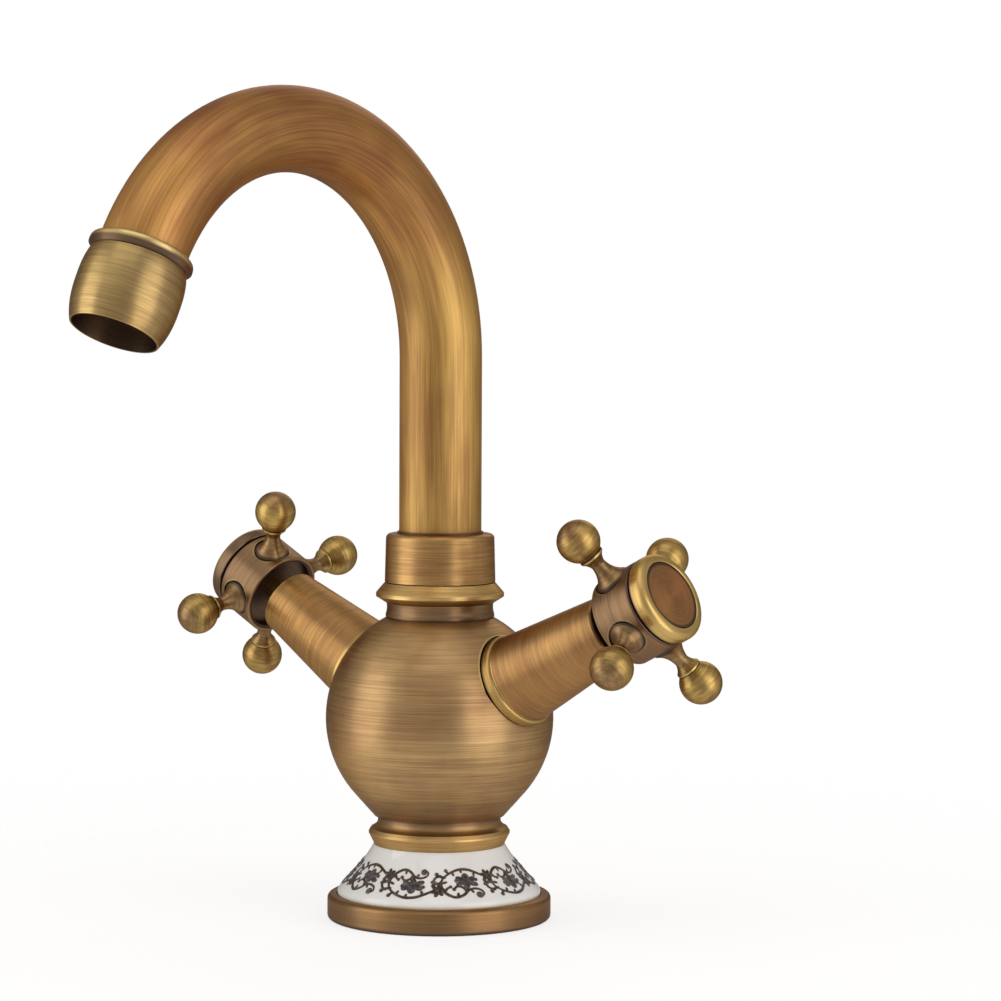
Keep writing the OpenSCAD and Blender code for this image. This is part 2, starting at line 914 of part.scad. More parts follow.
base_flange();
base_gasket();
porcelain_skirt();
base_collar();
ball_body();
neck_adapter();
spout_nut();
spout_tube();
spout_ferrule();
spout_o_rings();
spout_slip_ring();
spout_bead_ring();
nozzle_shell();
aerator_washer();
aerator_body();
aerator_screen();
arm(hot);  // hot_arm
arm_ring(hot);  // hot_arm_ring
cartridge_body(hot);  // hot_cartridge_body
cartridge_seal(hot);  // hot_cartridge_seal
fixed_disc(hot);  // hot_fixed_disc
moving_disc(hot);  // hot_moving_disc
stem(hot);  // hot_stem
stem_o_rings(hot);  // hot_stem_o_rings
retaining_clip(hot);  // hot_retaining_clip
handle_hub(hot);  // hot_handle_hub
handle_spokes(hot);  // hot_handle_spokes
handle_bezel(hot);  // hot_handle_bezel
index_disc(hot);  // hot_index_disc
handle_screw(hot);  // hot_handle_screw
arm(cold);  // cold_arm
arm_ring(cold);  // cold_arm_ring
cartridge_body(cold);  // cold_cartridge_body
cartridge_seal(cold);  // cold_cartridge_seal
fixed_disc(cold);  // cold_fixed_disc
moving_disc(cold);  // cold_moving_disc
stem(cold);  // cold_stem
stem_o_rings(cold);  // cold_stem_o_rings
retaining_clip(cold);  // cold_retaining_clip
handle_hub(cold);  // cold_handle_hub
handle_spokes(cold);  // cold_handle_spokes
handle_bezel(cold);  // cold_handle_bezel
index_disc(cold);  // cold_index_disc
handle_screw(cold);  // cold_handle_screw
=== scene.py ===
"""Looks of the two-handle basin mixer: antique brushed brass on a porcelain base with a vine."""
import json
import math

import bpy
from mathutils import Matrix, Vector
from mathutils.bvhtree import BVHTree


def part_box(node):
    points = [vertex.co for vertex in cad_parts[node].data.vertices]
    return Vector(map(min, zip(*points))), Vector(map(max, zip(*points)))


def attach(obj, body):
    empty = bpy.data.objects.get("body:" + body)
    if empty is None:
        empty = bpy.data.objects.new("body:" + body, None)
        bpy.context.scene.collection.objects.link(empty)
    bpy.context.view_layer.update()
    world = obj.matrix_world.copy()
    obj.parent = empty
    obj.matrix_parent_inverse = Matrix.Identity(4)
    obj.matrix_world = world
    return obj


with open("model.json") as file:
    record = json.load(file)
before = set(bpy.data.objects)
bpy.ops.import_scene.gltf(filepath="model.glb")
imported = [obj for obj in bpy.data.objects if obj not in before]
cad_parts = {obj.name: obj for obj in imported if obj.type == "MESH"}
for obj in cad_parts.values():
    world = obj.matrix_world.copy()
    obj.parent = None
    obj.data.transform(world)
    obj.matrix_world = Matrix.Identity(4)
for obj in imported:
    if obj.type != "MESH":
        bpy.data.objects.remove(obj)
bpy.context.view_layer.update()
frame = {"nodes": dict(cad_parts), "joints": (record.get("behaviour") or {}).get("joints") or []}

MM = 0.001
scene = bpy.context.scene
nodes = frame["nodes"]
joints = {joint["name"]: joint for joint in frame["joints"]}

# ---------------------------------------------------------------------------------------------
# Places, from the frame or from the design
# ---------------------------------------------------------------------------------------------
UP = Vector((0, 0, 1))
TUBE_LOW, TUBE_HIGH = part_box("spout_tube")
TUBE_RADIUS = (TUBE_HIGH.x - TUBE_LOW.x) / 2
# Top of the collar, where the ball sits, and the sharp rim of the neck
SEAT_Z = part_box("base_collar")[1].z
NECK_RIM_Z = 87.8 * MM

# The bend of the spout: its centreline radius, and the height where it begins
BEND_RADIUS = 58.95 * MM
BEND_START = TUBE_HIGH.z - TUBE_RADIUS - BEND_RADIUS
BEND_ANGLE = math.radians(154.2)
SPOUT_END = Vector((
    0,
    BEND_RADIUS * (math.cos(BEND_ANGLE) - 1),
    BEND_START + BEND_RADIUS * math.sin(BEND_ANGLE),
))
SPOUT_DIRECTION = Vector((0, -math.sin(BEND_ANGLE), math.cos(BEND_ANGLE)))

# The arms' axes, outwards from the ball
ARM_START = Vector(joints["hot_handle_turn"]["pos_m"])
ARM_AXIS = {
    "hot": Vector(joints["hot_handle_turn"]["axis"]).normalized(),
    "cold": -Vector(joints["cold_handle_turn"]["axis"]).normalized(),
}
# How far the first spoke of each handle is turned round its arm at rest
REST_TURN = {"hot": math.radians(-18.4), "cold": math.radians(-56.5)}

# Places along an arm's axis, from where the axes of the two arms meet
SPOKE_PLANE = 75 * MM
HUB_FRONT = 81.6 * MM
BEZEL_BACK = 82.2 * MM
BEZEL_SIDE_END = 84.3 * MM
BEZEL_FACE = 86.5 * MM

# Radii about an arm's axis, and about the nozzle's
HUB_BORE = 11.3 * MM
DISC_RIM = 9.1 * MM
NOZZLE_BORE = 11.2 * MM
# Over how much of the radius the painted shade inside a bore begins
BORE_FADE = 0.2 * MM

# Places along a spoke, from the arm's axis, and the radius of its foot
FOOT_END = 15 * MM
KNOB_START = 19.6 * MM
KNOB_END = 31 * MM
FOOT_RADIUS = 4.75 * MM

# The camera's place, worked out from the object's outline: how far it is turned to the right of
# the spout, how far it looks down, its tilt, its distance and its focal length
CAMERA_AZIMUTH = math.radians(40.07)
CAMERA_DIP = math.radians(3.299)
CAMERA_ROLL = math.radians(0.245)
CAMERA_DISTANCE = 937.9 * MM
LENS_MM, SENSOR_MM = 124.63, 36
# What the camera aims at: a height on the spout's axis, and the shift from it across and down
AIM_HEIGHT, AIM_RIGHT, AIM_DOWN = 115 * MM, 16.28 * MM, 1.26 * MM
# The middle of the object, at which the lights aim
LIT_MIDDLE = Vector((0, 0, 110 * MM))


def axis_frame(direction, turn=0.0):
    """Rotation whose Z is direction and whose Y leans up, turned about Z."""
    z = direction.normalized()
    side = Vector((-z.y, z.x, 0))
    x = side.normalized() if side.length > 1e-6 else Vector((1, 0, 0))
    rotation = Matrix((x, z.cross(x), z)).transposed()
    return rotation @ Matrix.Rotation(turn, 3, "Z")


# ---------------------------------------------------------------------------------------------
# Camera and lights
# ---------------------------------------------------------------------------------------------
def make_camera():
    """A long lens that looks slightly down, turned to the right of the spout."""
    right = Vector((math.cos(CAMERA_AZIMUTH), math.sin(CAMERA_AZIMUTH), 0))
    level = Vector((-math.sin(CAMERA_AZIMUTH), math.cos(CAMERA_AZIMUTH), 0))
    ahead = level * math.cos(CAMERA_DIP) - UP * math.sin(CAMERA_DIP)
    up = right.cross(ahead)
    aim = UP * AIM_HEIGHT + right * AIM_RIGHT - up * AIM_DOWN
    rotation = Matrix((right, up, -ahead)).transposed() @ Matrix.Rotation(CAMERA_ROLL, 3, "Z")
    data = bpy.data.cameras.new("camera")
    data.sensor_width = SENSOR_MM
    data.lens = LENS_MM
    data.clip_start = 0.01
    data.clip_end = 100
    camera = bpy.data.objects.new("camera", data)
    camera.rotation_mode = "QUATERNION"
    camera.rotation_quaternion = rotation.to_quaternion()
    camera.location = aim - ahead * CAMERA_DISTANCE
    scene.collection.objects.link(camera)
    scene.camera = camera


def soft_box(name, turn, rise, distance, size, power):
    """A large soft light that the camera doesn't see. It is turn degrees round to the right of
    the camera, rise degrees up and distance metres away, and aims at the middle of the object.
    size is its width and height in metres, and power is in watts."""
    azimuth = CAMERA_AZIMUTH + math.radians(turn)
    height = math.radians(rise)
    outwards = Vector((
        math.cos(height) * math.sin(azimuth),
        -math.cos(height) * math.cos(azimuth),
        math.sin(height),
    ))
    data = bpy.data.lights.new(name, "AREA")
    data.shape = "RECTANGLE"
    data.size, data.size_y = size
    data.energy = power
    light = bpy.data.objects.new(name, data)
    light.location = LIT_MIDDLE + outwards * distance
    aim = LIT_MIDDLE - light.location
    light.rotation_mode = "QUATERNION"
    light.rotation_quaternion = aim.to_track_quat("-Z", "Y")
    light.visible_camera = False
    scene.collection.objects.link(light)


# ---------------------------------------------------------------------------------------------
# Shader building
# ---------------------------------------------------------------------------------------------
# Sockets of a colour mix: factor, the two colours, and the result
MIX_FACTOR, MIX_A, MIX_B, MIX_RESULT = 0, 6, 7, 2
AO_SAMPLES = 6


class Shader:
    """One material and short calls that add nodes to it. Noise scales are per metre."""

    def __init__(self, name):
        self.material = bpy.data.materials.new(name)
        self.material.use_nodes = True
        self.tree = self.material.node_tree
        self.surface = next(n for n in self.tree.nodes if n.type == "BSDF_PRINCIPLED")
        self.output = next(n for n in self.tree.nodes if n.type == "OUTPUT_MATERIAL")

    def add(self, kind, **settings):
        node = self.tree.nodes.new("ShaderNode" + kind)
        for key, value in settings.items():
            setattr(node, key, value)
        return node

    def put(self, socket, value):
        """Links value to the socket if it comes from a node, or else sets it."""
        if isinstance(value, bpy.types.NodeSocket):
            self.tree.links.new(value, socket)
        else:
            socket.default_value = value

    def math(self, operation, *values):
        node = self.add("Math", operation=operation)
        for socket, value in zip(node.inputs, values):
            self.put(socket, value)
        return node.outputs[0]

    def vector(self, operation, *values):
        node = self.add("VectorMath", operation=operation)
        for socket, value in zip(node.inputs, values):
            self.put(socket, value)
        return node.outputs["Value" if operation == "LENGTH" else "Vector"]

    def combine(self, x, y, z):
        node = self.add("CombineXYZ")
        for socket, value in zip(node.inputs, (x, y, z)):
            self.put(socket, value)
        return node.outputs[0]

    def scaled(self, values, scales):
        """A vector of three values, each times its scale."""
        return self.combine(*(self.math("MULTIPLY", *pair) for pair in zip(values, scales)))

    def split(self, value):
        node = self.add("SeparateXYZ")
        self.put(node.inputs[0], value)
        return node.outputs

    def noise(self, vector, scale, detail=2.0, rough=0.5, w=None):
        node = self.add("TexNoise", noise_dimensions="3D" if w is None else "4D")
        self.put(node.inputs["Vector"], vector)
        self.put(node.inputs["Scale"], scale)
        self.put(node.inputs["Detail"], detail)
        self.put(node.inputs["Roughness"], rough)
        if w is not None:
            self.put(node.inputs["W"], w)
        return node.outputs[0]

    def mix(self, factor, a, b):
        node = self.add("Mix", data_type="RGBA")
        for index, value in ((MIX_FACTOR, factor), (MIX_A, a), (MIX_B, b)):
            self.put(node.inputs[index], value)
        return node.outputs[MIX_RESULT]

    def multiply(self, a, b):
        node = self.add("Mix", data_type="RGBA", blend_type="MULTIPLY")
        for index, value in ((MIX_FACTOR, 1.0), (MIX_A, a), (MIX_B, b)):
            self.put(node.inputs[index], value)
        return node.outputs[MIX_RESULT]

    def spread(self, value, low, high, to_low=0.0, to_high=1.0):
        """Maps low..high smoothly to to_low..to_high."""
        node = self.add("MapRange", interpolation_type="SMOOTHSTEP")
        for socket, number in zip(node.inputs, (value, low, high, to_low, to_high)):
            self.put(socket, number)
        return node.outputs[0]

    def bump(self, height, depth, strength=1.0):
        node = self.add("Bump")
        self.put(node.inputs["Strength"], strength)
        self.put(node.inputs["Distance"], depth)
        self.put(node.inputs["Height"], height)
        return node.outputs[0]

    def occlusion(self, distance, inside=False):
        """1 where nothing is within distance of the surface, less in corners. Inside the surface,
        less on sharp edges."""
        node = self.add("AmbientOcclusion", samples=AO_SAMPLES, inside=inside)
        self.put(node.inputs["Distance"], distance)
        return node.outputs["AO"]

    def set(self, **values):
        """Sets sockets of the surface, named with _ for a space, and returns the material."""
        for key, value in values.items():
            self.put(self.surface.inputs[key.replace("_", " ")], value)
        return self.material


def object_place(shader):
    """Texture place in the frame's axes, in metres, which moves with the part."""
    return shader.add("TexCoord").outputs["Object"]


def local_place(shader, origin, rotation):
    """Texture place in a part's own axes, whose Z is the axis that the part was turned about."""
    node = shader.add("Mapping", vector_type="TEXTURE")
    shader.put(node.inputs["Vector"], object_place(shader))
    node.inputs["Location"].default_value = origin
    node.inputs["Rotation"].default_value = rotation.to_euler()
    return node.outputs[0]


def from_local(shader, vector, rotation):
    """A direction given in a part's own axes, turned into the frame's."""
    turn = shader.add("VectorRotate", rotation_type="EULER_XYZ")
    shader.put(turn.inputs["Vector"], vector)
    turn.inputs["Rotation"].default_value = rotation.to_euler()
    return turn.outputs[0]


def to_world(shader, vector):
    """A direction given in the frame's axes at rest, which turns with the part."""
    node = shader.add("VectorTransform", vector_type="VECTOR", convert_from="OBJECT",
                      convert_to="WORLD")
    shader.put(node.inputs[0], vector)
    return node.outputs[0]


# ---------------------------------------------------------------------------------------------
# Antique brass
# ---------------------------------------------------------------------------------------------
# Darkest and lightest tone of each finish, between which the brush marks run. Dark is old brown
# oxide, and also serves as painted shade on the collar under the ball, low on the ball and under
# the neck's rim.
PATINA = {
    "brushed": ((0.255, 0.130, 0.046, 1), (0.730, 0.475, 0.188, 1)),
    "orange": ((0.310, 0.145, 0.040, 1), (0.760, 0.465, 0.142, 1)),
    "tube": ((0.325, 0.145, 0.030, 1), (0.735, 0.446, 0.106, 1)),
    "arch": ((0.310, 0.116, 0.023, 1), (0.735, 0.385, 0.088, 1)),
    "rim": ((0.345, 0.178, 0.048, 1), (0.880, 0.555, 0.190, 1)),
    "neck": ((0.330, 0.170, 0.044, 1), (1.000, 0.680, 0.215, 1)),
    "hot_arm": ((0.300, 0.137, 0.033, 1), (0.745, 0.445, 0.114, 1)),
    # The cold arm's tones are the hot arm's made darker: painted shade on the cold arm
    "cold_arm": ((0.262, 0.113, 0.027, 1), (0.622, 0.350, 0.096, 1)),
    # The flange's tones are the brass made darker: painted shade low on the base
    "flange": ((0.170, 0.082, 0.024, 1), (0.440, 0.250, 0.073, 1)),
    "nozzle": ((0.270, 0.160, 0.048, 1), (0.710, 0.495, 0.175, 1)),
    # The next two tones are painted shade under ledges, in grooves and bores, round the index
    # discs and on the shaded parts of the bezels
    "deep_shade": ((0.040, 0.020, 0.012, 1), (0.170, 0.092, 0.046, 1)),
    "brown_shade": ((0.085, 0.047, 0.025, 1), (0.310, 0.182, 0.084, 1)),
    "gold": ((0.430, 0.250, 0.056, 1), (0.900, 0.650, 0.205, 1)),
    "bead": ((0.640, 0.420, 0.125, 1), (1.000, 0.800, 0.330, 1)),
    "dark": ((0.138, 0.071, 0.032, 1), (0.445, 0.258, 0.096, 1)),
    "knob": ((0.185, 0.095, 0.021, 1), (0.760, 0.515, 0.124, 1)),
    "disc": ((0.270, 0.106, 0.028, 1), (0.515, 0.246, 0.070, 1)),
}
WORN_EDGE = (0.92, 0.68, 0.26, 1)
# Tint of the oxide film that lies on the brass in soft patches
FILM = (0.80, 0.64, 0.62, 1)
FILM_SCALE = 38.0
# Painted shade, in the brown of the patina, in wide hollows; and painted shade with soiling in
# narrow seams
HOLLOW_PATINA_AND_SHADE = (0.120, 0.060, 0.026, 1)
HOLLOW_REACH = 7 * MM
SEAM_SHADE_AND_DIRT = (0.022, 0.010, 0.005, 1)
# What bare brass tends to when it is seen nearly edge-on
EDGE_ON = (0.50, 0.33, 0.17, 1)
# How much of the tone comes from the fine, the middle and the broad brush marks
FINE_SHARE, MIDDLE_SHARE, BROAD_SHARE = 0.42, 0.20, 0.38
STREAK_ROUGHNESS = 0.55
BRUSH_DEPTH = 0.02 * MM
# How far the sharpest edges go over to WORN_EDGE
MOST_WORN = 0.70
# How far a spoke and the end of its knob go over to dark
SPOKE_SHADE = 0.8


def finish_brass(shader, tones, across, streaks, rough=0.36, wear=1.0, edge_reach=0.5, film=0.5,
                 shade_and_grime=0.9, seam_reach=1.6, shade_and_dirt=None, other=None, other_tones="dark",
                 other_wears=False):
    """Colour, roughness and brush marks from fine, middle and broad streaks, with patches of
    oxide film, worn edges, painted shade with patina in wide hollows, and painted shade with
    soiling in narrow seams. across is the direction across the brush marks, in which
    highlights stretch. The mask of painted shade and soiling is 1 where the seam colour takes
    over fully, and other is 1 where the other tones take over. The reaches are in millimetres;
    wear, film and the painted shade and soiling in seams are strengths."""
    fine, middle, broad = streaks
    value = shader.math("MULTIPLY", fine, FINE_SHARE)
    value = shader.math("MULTIPLY_ADD", middle, MIDDLE_SHARE, value)
    value = shader.math("MULTIPLY_ADD", broad, BROAD_SHARE, value)
    value = shader.spread(value, 0.26, 0.74)
    colour = shader.mix(value, *PATINA[tones])
    if other is not None:
        colour = shader.mix(other, colour, shader.mix(value, *PATINA[other_tones]))
    patches = shader.noise(object_place(shader), FILM_SCALE)
    tint = shader.mix(shader.spread(patches, 0.40, 0.68, 0.0, film), (1, 1, 1, 1), FILM)
    colour = shader.multiply(colour, tint)
    edge = shader.occlusion(edge_reach * MM, inside=True)
    worn = shader.math("MULTIPLY", shader.spread(edge, 0.94, 0.60), MOST_WORN * wear)
    if other is not None and not other_wears:
        worn = shader.math("MULTIPLY", worn, shader.math("SUBTRACT", 1.0, other))
    colour = shader.mix(worn, colour, WORN_EDGE)
    # Painted shade in wide hollows, in the brown of the patina there
    hollow = shader.occlusion(HOLLOW_REACH)
    colour = shader.mix(shader.spread(hollow, 0.92, 0.30, 0.0, 0.75), colour, HOLLOW_PATINA_AND_SHADE)
    # Painted shade with soiling in narrow seams
    seam = shader.occlusion(seam_reach * MM)
    colour = shader.mix(shader.spread(seam, 0.82, 0.20, 0.0, shade_and_grime), colour, SEAM_SHADE_AND_DIRT)
    # Painted shade with soiling where the caller's mask asks for it
    if shade_and_dirt is not None:
        colour = shader.mix(shade_and_dirt, colour, SEAM_SHADE_AND_DIRT)
    # The lighter brush marks and the worn edges shine a little more
    roughness = shader.math("MULTIPLY_ADD", middle, -0.12, rough + 0.08)
    roughness = shader.math("MULTIPLY_ADD", worn, -0.10, roughness)
    normal = shader.bump(fine, BRUSH_DEPTH, 0.45)
    shader.put(shader.surface.inputs["Tangent"], to_world(shader, across))
    return shader.set(Base_Color=colour, Metallic=1.0, Roughness=roughness, Normal=normal,
                      Anisotropic=0.60, Specular_Tint=EDGE_ON, Coat_Weight=0.5, Coat_IOR=1.75,
                      Coat_Roughness=0.40)


def turned_brass(name, tones, origin, rotation, shade_radii=None, dark_along=None, dark_tones="dark",
                 **finish):
    """Brass brushed round the axis it was turned about. As painted shade, it goes over to
    dark_tones between two given radii, and between the two places along the axis in dark_along."""
    shader = Shader(name)
    place = local_place(shader, origin, rotation)
    x, y, z = shader.split(place)
    flat = shader.combine(x, y, 0.0)
    radius = shader.vector("LENGTH", flat)
    around = shader.vector("NORMALIZE", flat)
    ux, uy, _ = shader.split(around)

    def streaks(length, width):
        place_on = shader.scaled((ux, uy, z), (length, length, 1 / width))
        return shader.noise(place_on, 1.0, rough=STREAK_ROUGHNESS,
                            w=shader.math("MULTIPLY", radius, 1 / width))

    fine = streaks(1.3, 0.30 * MM)
    middle = streaks(0.8, 1.4 * MM)
    broad = shader.noise(place, 42.0, 3.0, STREAK_ROUGHNESS)
    # Across the marks is along the axis. A flat end face looks that way itself, so there the
    # small share outwards decides
    outwards = shader.vector("SCALE", around)
    outwards.node.inputs["Scale"].default_value = 0.25
    across = shader.vector("ADD", outwards, (0.0, 0.0, 1.0))
    # Painted shade: dark tones along the axis and between the radii
    dark = None
    if dark_along is not None:
        dark = shader.spread(z, *dark_along)
    if shade_radii is not None:
        ring = shader.spread(radius, *shade_radii)
        dark = ring if dark is None else shader.math("MAXIMUM", ring, dark)
    return finish_brass(shader, tones, from_local(shader, across, rotation),
                        (fine, middle, broad), other=dark, other_tones=dark_tones, **finish)


def tube_brass(name):
    """Brass tube brushed along its length, round the bend too."""
    shader = Shader(name)
    x, y, z = shader.split(object_place(shader))
    from_centre_y = shader.math("ADD", y, BEND_RADIUS)
    above = shader.math("MAXIMUM", shader.math("SUBTRACT", z, BEND_START), 0.0)
    below = shader.math("SUBTRACT", z, shader.math("ADD", above, BEND_START))
    angle = shader.math("ARCTAN2", above, from_centre_y)
    distance = shader.vector("LENGTH", shader.combine(from_centre_y, above, 0.0))
    outwards = shader.math("SUBTRACT", distance, BEND_RADIUS)
    travel = shader.math("MULTIPLY_ADD", angle, BEND_RADIUS, below)
    around = shader.vector("NORMALIZE", shader.combine(x, outwards, 0.0))
    ux, uy, _ = shader.split(around)

    def streaks(width, length):
        scale = TUBE_RADIUS / width
        place_on = shader.scaled((ux, uy, travel), (scale, scale, 1 / length))
        return shader.noise(place_on, 1.0, rough=STREAK_ROUGHNESS)

    fine = streaks(0.5 * MM, 26 * MM)
    middle = streaks(2.0 * MM, 34 * MM)
    broad = streaks(7.0 * MM, 30 * MM)
    cosine = shader.math("COSINE", angle)
    sine = shader.math("SINE", angle)
    around_tube = shader.combine(
        shader.math("MULTIPLY", uy, -1.0),
        shader.math("MULTIPLY", ux, cosine),
        shader.math("MULTIPLY", ux, sine),
    )
    # The arch is redder than the riser, with more film on it
    bent = shader.spread(angle, 0.15, 1.0)
    film = shader.math("MULTIPLY_ADD", bent, 0.6, 0.3)
    return finish_brass(shader, "tube", around_tube, (fine, middle, broad), rough=0.42, wear=0.6,
                        film=film, shade_and_grime=0.5, other=bent, other_tones="arch",
                        other_wears=True)


def spoke_brass(name, side):
    """Brass of four spokes, each brushed round its own axis: dark up to its knob and at the far
    end of it, with painted shade and soiling round the edge of its foot."""
    shader = Shader(name)
    rotation = axis_frame(ARM_AXIS[side], REST_TURN[side])
    centre = ARM_START + ARM_AXIS[side] * SPOKE_PLANE
    x, y, z = shader.split(local_place(shader, centre, rotation))
    x_size = shader.math("ABSOLUTE", x)
    y_size = shader.math("ABSOLUTE", y)
    out = shader.math("MAXIMUM", x_size, y_size)
    beside = shader.math("MINIMUM", x_size, y_size)
    from_axis = shader.combine(beside, z, 0.0)
    around = shader.vector("NORMALIZE", from_axis)
    ux, uy, _ = shader.split(around)

    def streaks(length, width):
        place_on = shader.scaled((ux, uy, out), (length, length, 1 / width))
        return shader.noise(place_on, 1.0)

    fine = streaks(1.6, 0.5 * MM)
    middle = streaks(1.1, 1.8 * MM)
    broad = shader.noise(object_place(shader), 60.0)
    along_x = shader.math("GREATER_THAN", x_size, y_size)
    across = shader.combine(along_x, shader.math("SUBTRACT", 1.0, along_x), 0.0)
    root = shader.spread(out, KNOB_START, KNOB_START - 2 * MM, 0.0, SPOKE_SHADE)
    tip = shader.spread(out, KNOB_END - 4 * MM, KNOB_END, 0.0, SPOKE_SHADE)
    # Painted shade with soiling round the edge of the foot
    foot = shader.spread(out, FOOT_END + 1 * MM, FOOT_END, 0.0, 0.85)
    foot_edge = shader.spread(shader.vector("LENGTH", from_axis), FOOT_RADIUS - 0.75 * MM,
                              FOOT_RADIUS - 0.25 * MM)
    return finish_brass(shader, "knob", from_local(shader, across, rotation),
                        (fine, middle, broad), rough=0.34, wear=0.8, seam_reach=2.2,
                        shade_and_dirt=shader.math("MULTIPLY", foot, foot_edge),
                        other=shader.math("MAXIMUM", root, tip))


def paint(material, *names):
    """Gives the CAD nodes of these names the material."""
    for name in names:
        mesh = nodes[name].data
        mesh.materials.clear()
        mesh.materials.append(material)


def each_side(*names):
    """The names of these nodes on the hot side and on the cold side."""
    return [f"{side}_{name}" for side in ("hot", "cold") for name in names]


def plain_material(name, colour, roughness, metallic=0.0):
    """Cast, moulded or ground surface with a fine grain and slight colour change."""
    shader = Shader(name)
    place = object_place(shader)
    grains = shader.noise(place, 900.0, 3.0)
    patches = shader.noise(place, 75.0)
    darker = tuple(c * 0.72 for c in colour[:3]) + (1,)
    base = shader.mix(shader.spread(patches, 0.3, 0.7), darker, colour)
    rough = shader.math("MULTIPLY_ADD", grains, 0.16, roughness - 0.08)
    return shader.set(Base_Color=base, Metallic=metallic, Roughness=rough,
                      Normal=shader.bump(grains, 0.02 * MM, 0.6))


GLAZE = ((0.93, 0.94, 0.93, 1), (0.97, 0.975, 0.97, 1))
GLAZE_STAIN = (0.70, 0.58, 0.40, 1)
GLAZE_CORNER_SHADE = (0.40, 0.33, 0.25, 1)


def porcelain_material():
    """White glaze: very smooth, with a faint orange-peel, stained beside the raised vine, and with
    painted shade in the tight corners at the flange."""
    shader = Shader("porcelain_glaze")
    place = object_place(shader)
    peel = shader.noise(place, 220.0)
    cloud = shader.noise(place, 45.0, 3.0)
    base = shader.mix(shader.spread(cloud, 0.3, 0.7), *GLAZE)
    beside = shader.occlusion(1.3 * MM)
    base = shader.mix(shader.spread(beside, 0.97, 0.62), base, GLAZE_STAIN)
    # Painted shade in tight corners
    open_air = shader.occlusion(4 * MM)
    base = shader.mix(shader.spread(open_air, 0.7, 0.2), base, GLAZE_CORNER_SHADE)
    return shader.set(Base_Color=base, Roughness=0.12, Coat_Weight=0.6, Coat_Roughness=0.04,
                      Subsurface_Weight=0.06, Subsurface_Radius=(0.004, 0.003, 0.002),
                      Normal=shader.bump(peel, 0.05 * MM, 0.35))


def paint_body():
    """Brass and porcelain of the base, the ball, the neck and the nut, with painted shade on the
    collar under the ball, low on the ball towards its seat and on the neck under its rim.
    """
    for name, tones, settings in (
        ("base_flange", "flange", {}),
        # Painted shade at the top of the collar, under the ball
        ("base_collar", "rim", {
            "edge_reach": 1.8, "dark_along": (SEAT_Z - 2.4 * MM, SEAT_Z - 0.6 * MM)}),
        # Painted shade low on the ball, darker towards its seat
        ("ball_body", "brushed", {
            "shade_and_grime": 0.7, "dark_along": (SEAT_Z + 9 * MM, SEAT_Z - 1 * MM)}),
        # Painted shade on the neck under its sharp rim
        ("neck_adapter", "neck", {
            "edge_reach": 1.6, "shade_and_grime": 0.6, "dark_along": (NECK_RIM_Z, NECK_RIM_Z - 2.5 * MM)}),
        ("spout_nut", "orange", {"edge_reach": 0.6, "shade_and_grime": 0.45}),
    ):
        paint(turned_brass("brass_" + name, tones, Vector((0, 0, 0)), Matrix.Identity(3),
                           rough=0.38, **settings), name)
    paint(porcelain_material(), "porcelain_skirt")


def paint_spout():
    """Brass of the tube, and of the bead ring and the nozzle at its end. The bead ring has painted
    shade from its middle down, and the nozzle inside."""
    paint(tube_brass("brass_tube"), "spout_tube")
    end = axis_frame(SPOUT_DIRECTION)
    # Painted shade on the bead ring's half towards the nozzle
    paint(turned_brass("brass_bead", "bead", SPOUT_END, end, rough=0.30,
                       dark_along=(-0.7 * MM, 0.3 * MM), dark_tones="brown_shade"), "spout_bead_ring")
    # Painted shade inside the nozzle's bore
    paint(turned_brass("brass_nozzle", "nozzle", SPOUT_END, end, rough=0.32, seam_reach=2.2,
                       shade_radii=(NOZZLE_BORE, NOZZLE_BORE - BORE_FADE), dark_tones="brown_shade"),
          "nozzle_shell")


def paint_side(side):
    """Brass of an arm and its handle, with painted shade in the hub's bore and in the groove at
    its front, round the rim of the index disc, over the whole side of the hot bezel, and only on
    the back edge of the cold one."""
    rotation = axis_frame(ARM_AXIS[side])
    # Painted shade on the bezels: over the whole side of the hot one, at the back edge of the cold
    bezel_shade = {
        "hot": (BEZEL_FACE, BEZEL_SIDE_END),
        "cold": (BEZEL_BACK + 0.9 * MM, BEZEL_BACK + 0.1 * MM),
    }
    for name, tones, settings in (
        ("arm", f"{side}_arm", {"rough": 0.38}),
        ("arm_ring", "gold", {"rough": 0.30}),
        # Painted shade in the hub's bore and in the groove at its front
        ("handle_hub", "dark", {
            "rough": 0.38, "wear": 0.4, "seam_reach": 2.6,
            "shade_radii": (HUB_BORE, HUB_BORE - BORE_FADE),
            "dark_along": (HUB_FRONT - 0.8 * MM, HUB_FRONT - 0.3 * MM), "dark_tones": "deep_shade"}),
        ("handle_bezel", "gold", {
            "rough": 0.30, "seam_reach": 2.2,
            "dark_along": bezel_shade[side], "dark_tones": "brown_shade"}),
        # Painted shade round the rim of the index disc
        ("index_disc", "disc", {
            "rough": 0.42,
            "shade_radii": (DISC_RIM - 0.9 * MM, DISC_RIM - 0.4 * MM), "dark_tones": "deep_shade"}),
    ):
        label = f"{side}_{name}"
        paint(turned_brass("brass_" + label, tones, ARM_START, rotation, **settings), label)
    paint(spoke_brass(f"brass_{side}_spokes", side), f"{side}_handle_spokes")


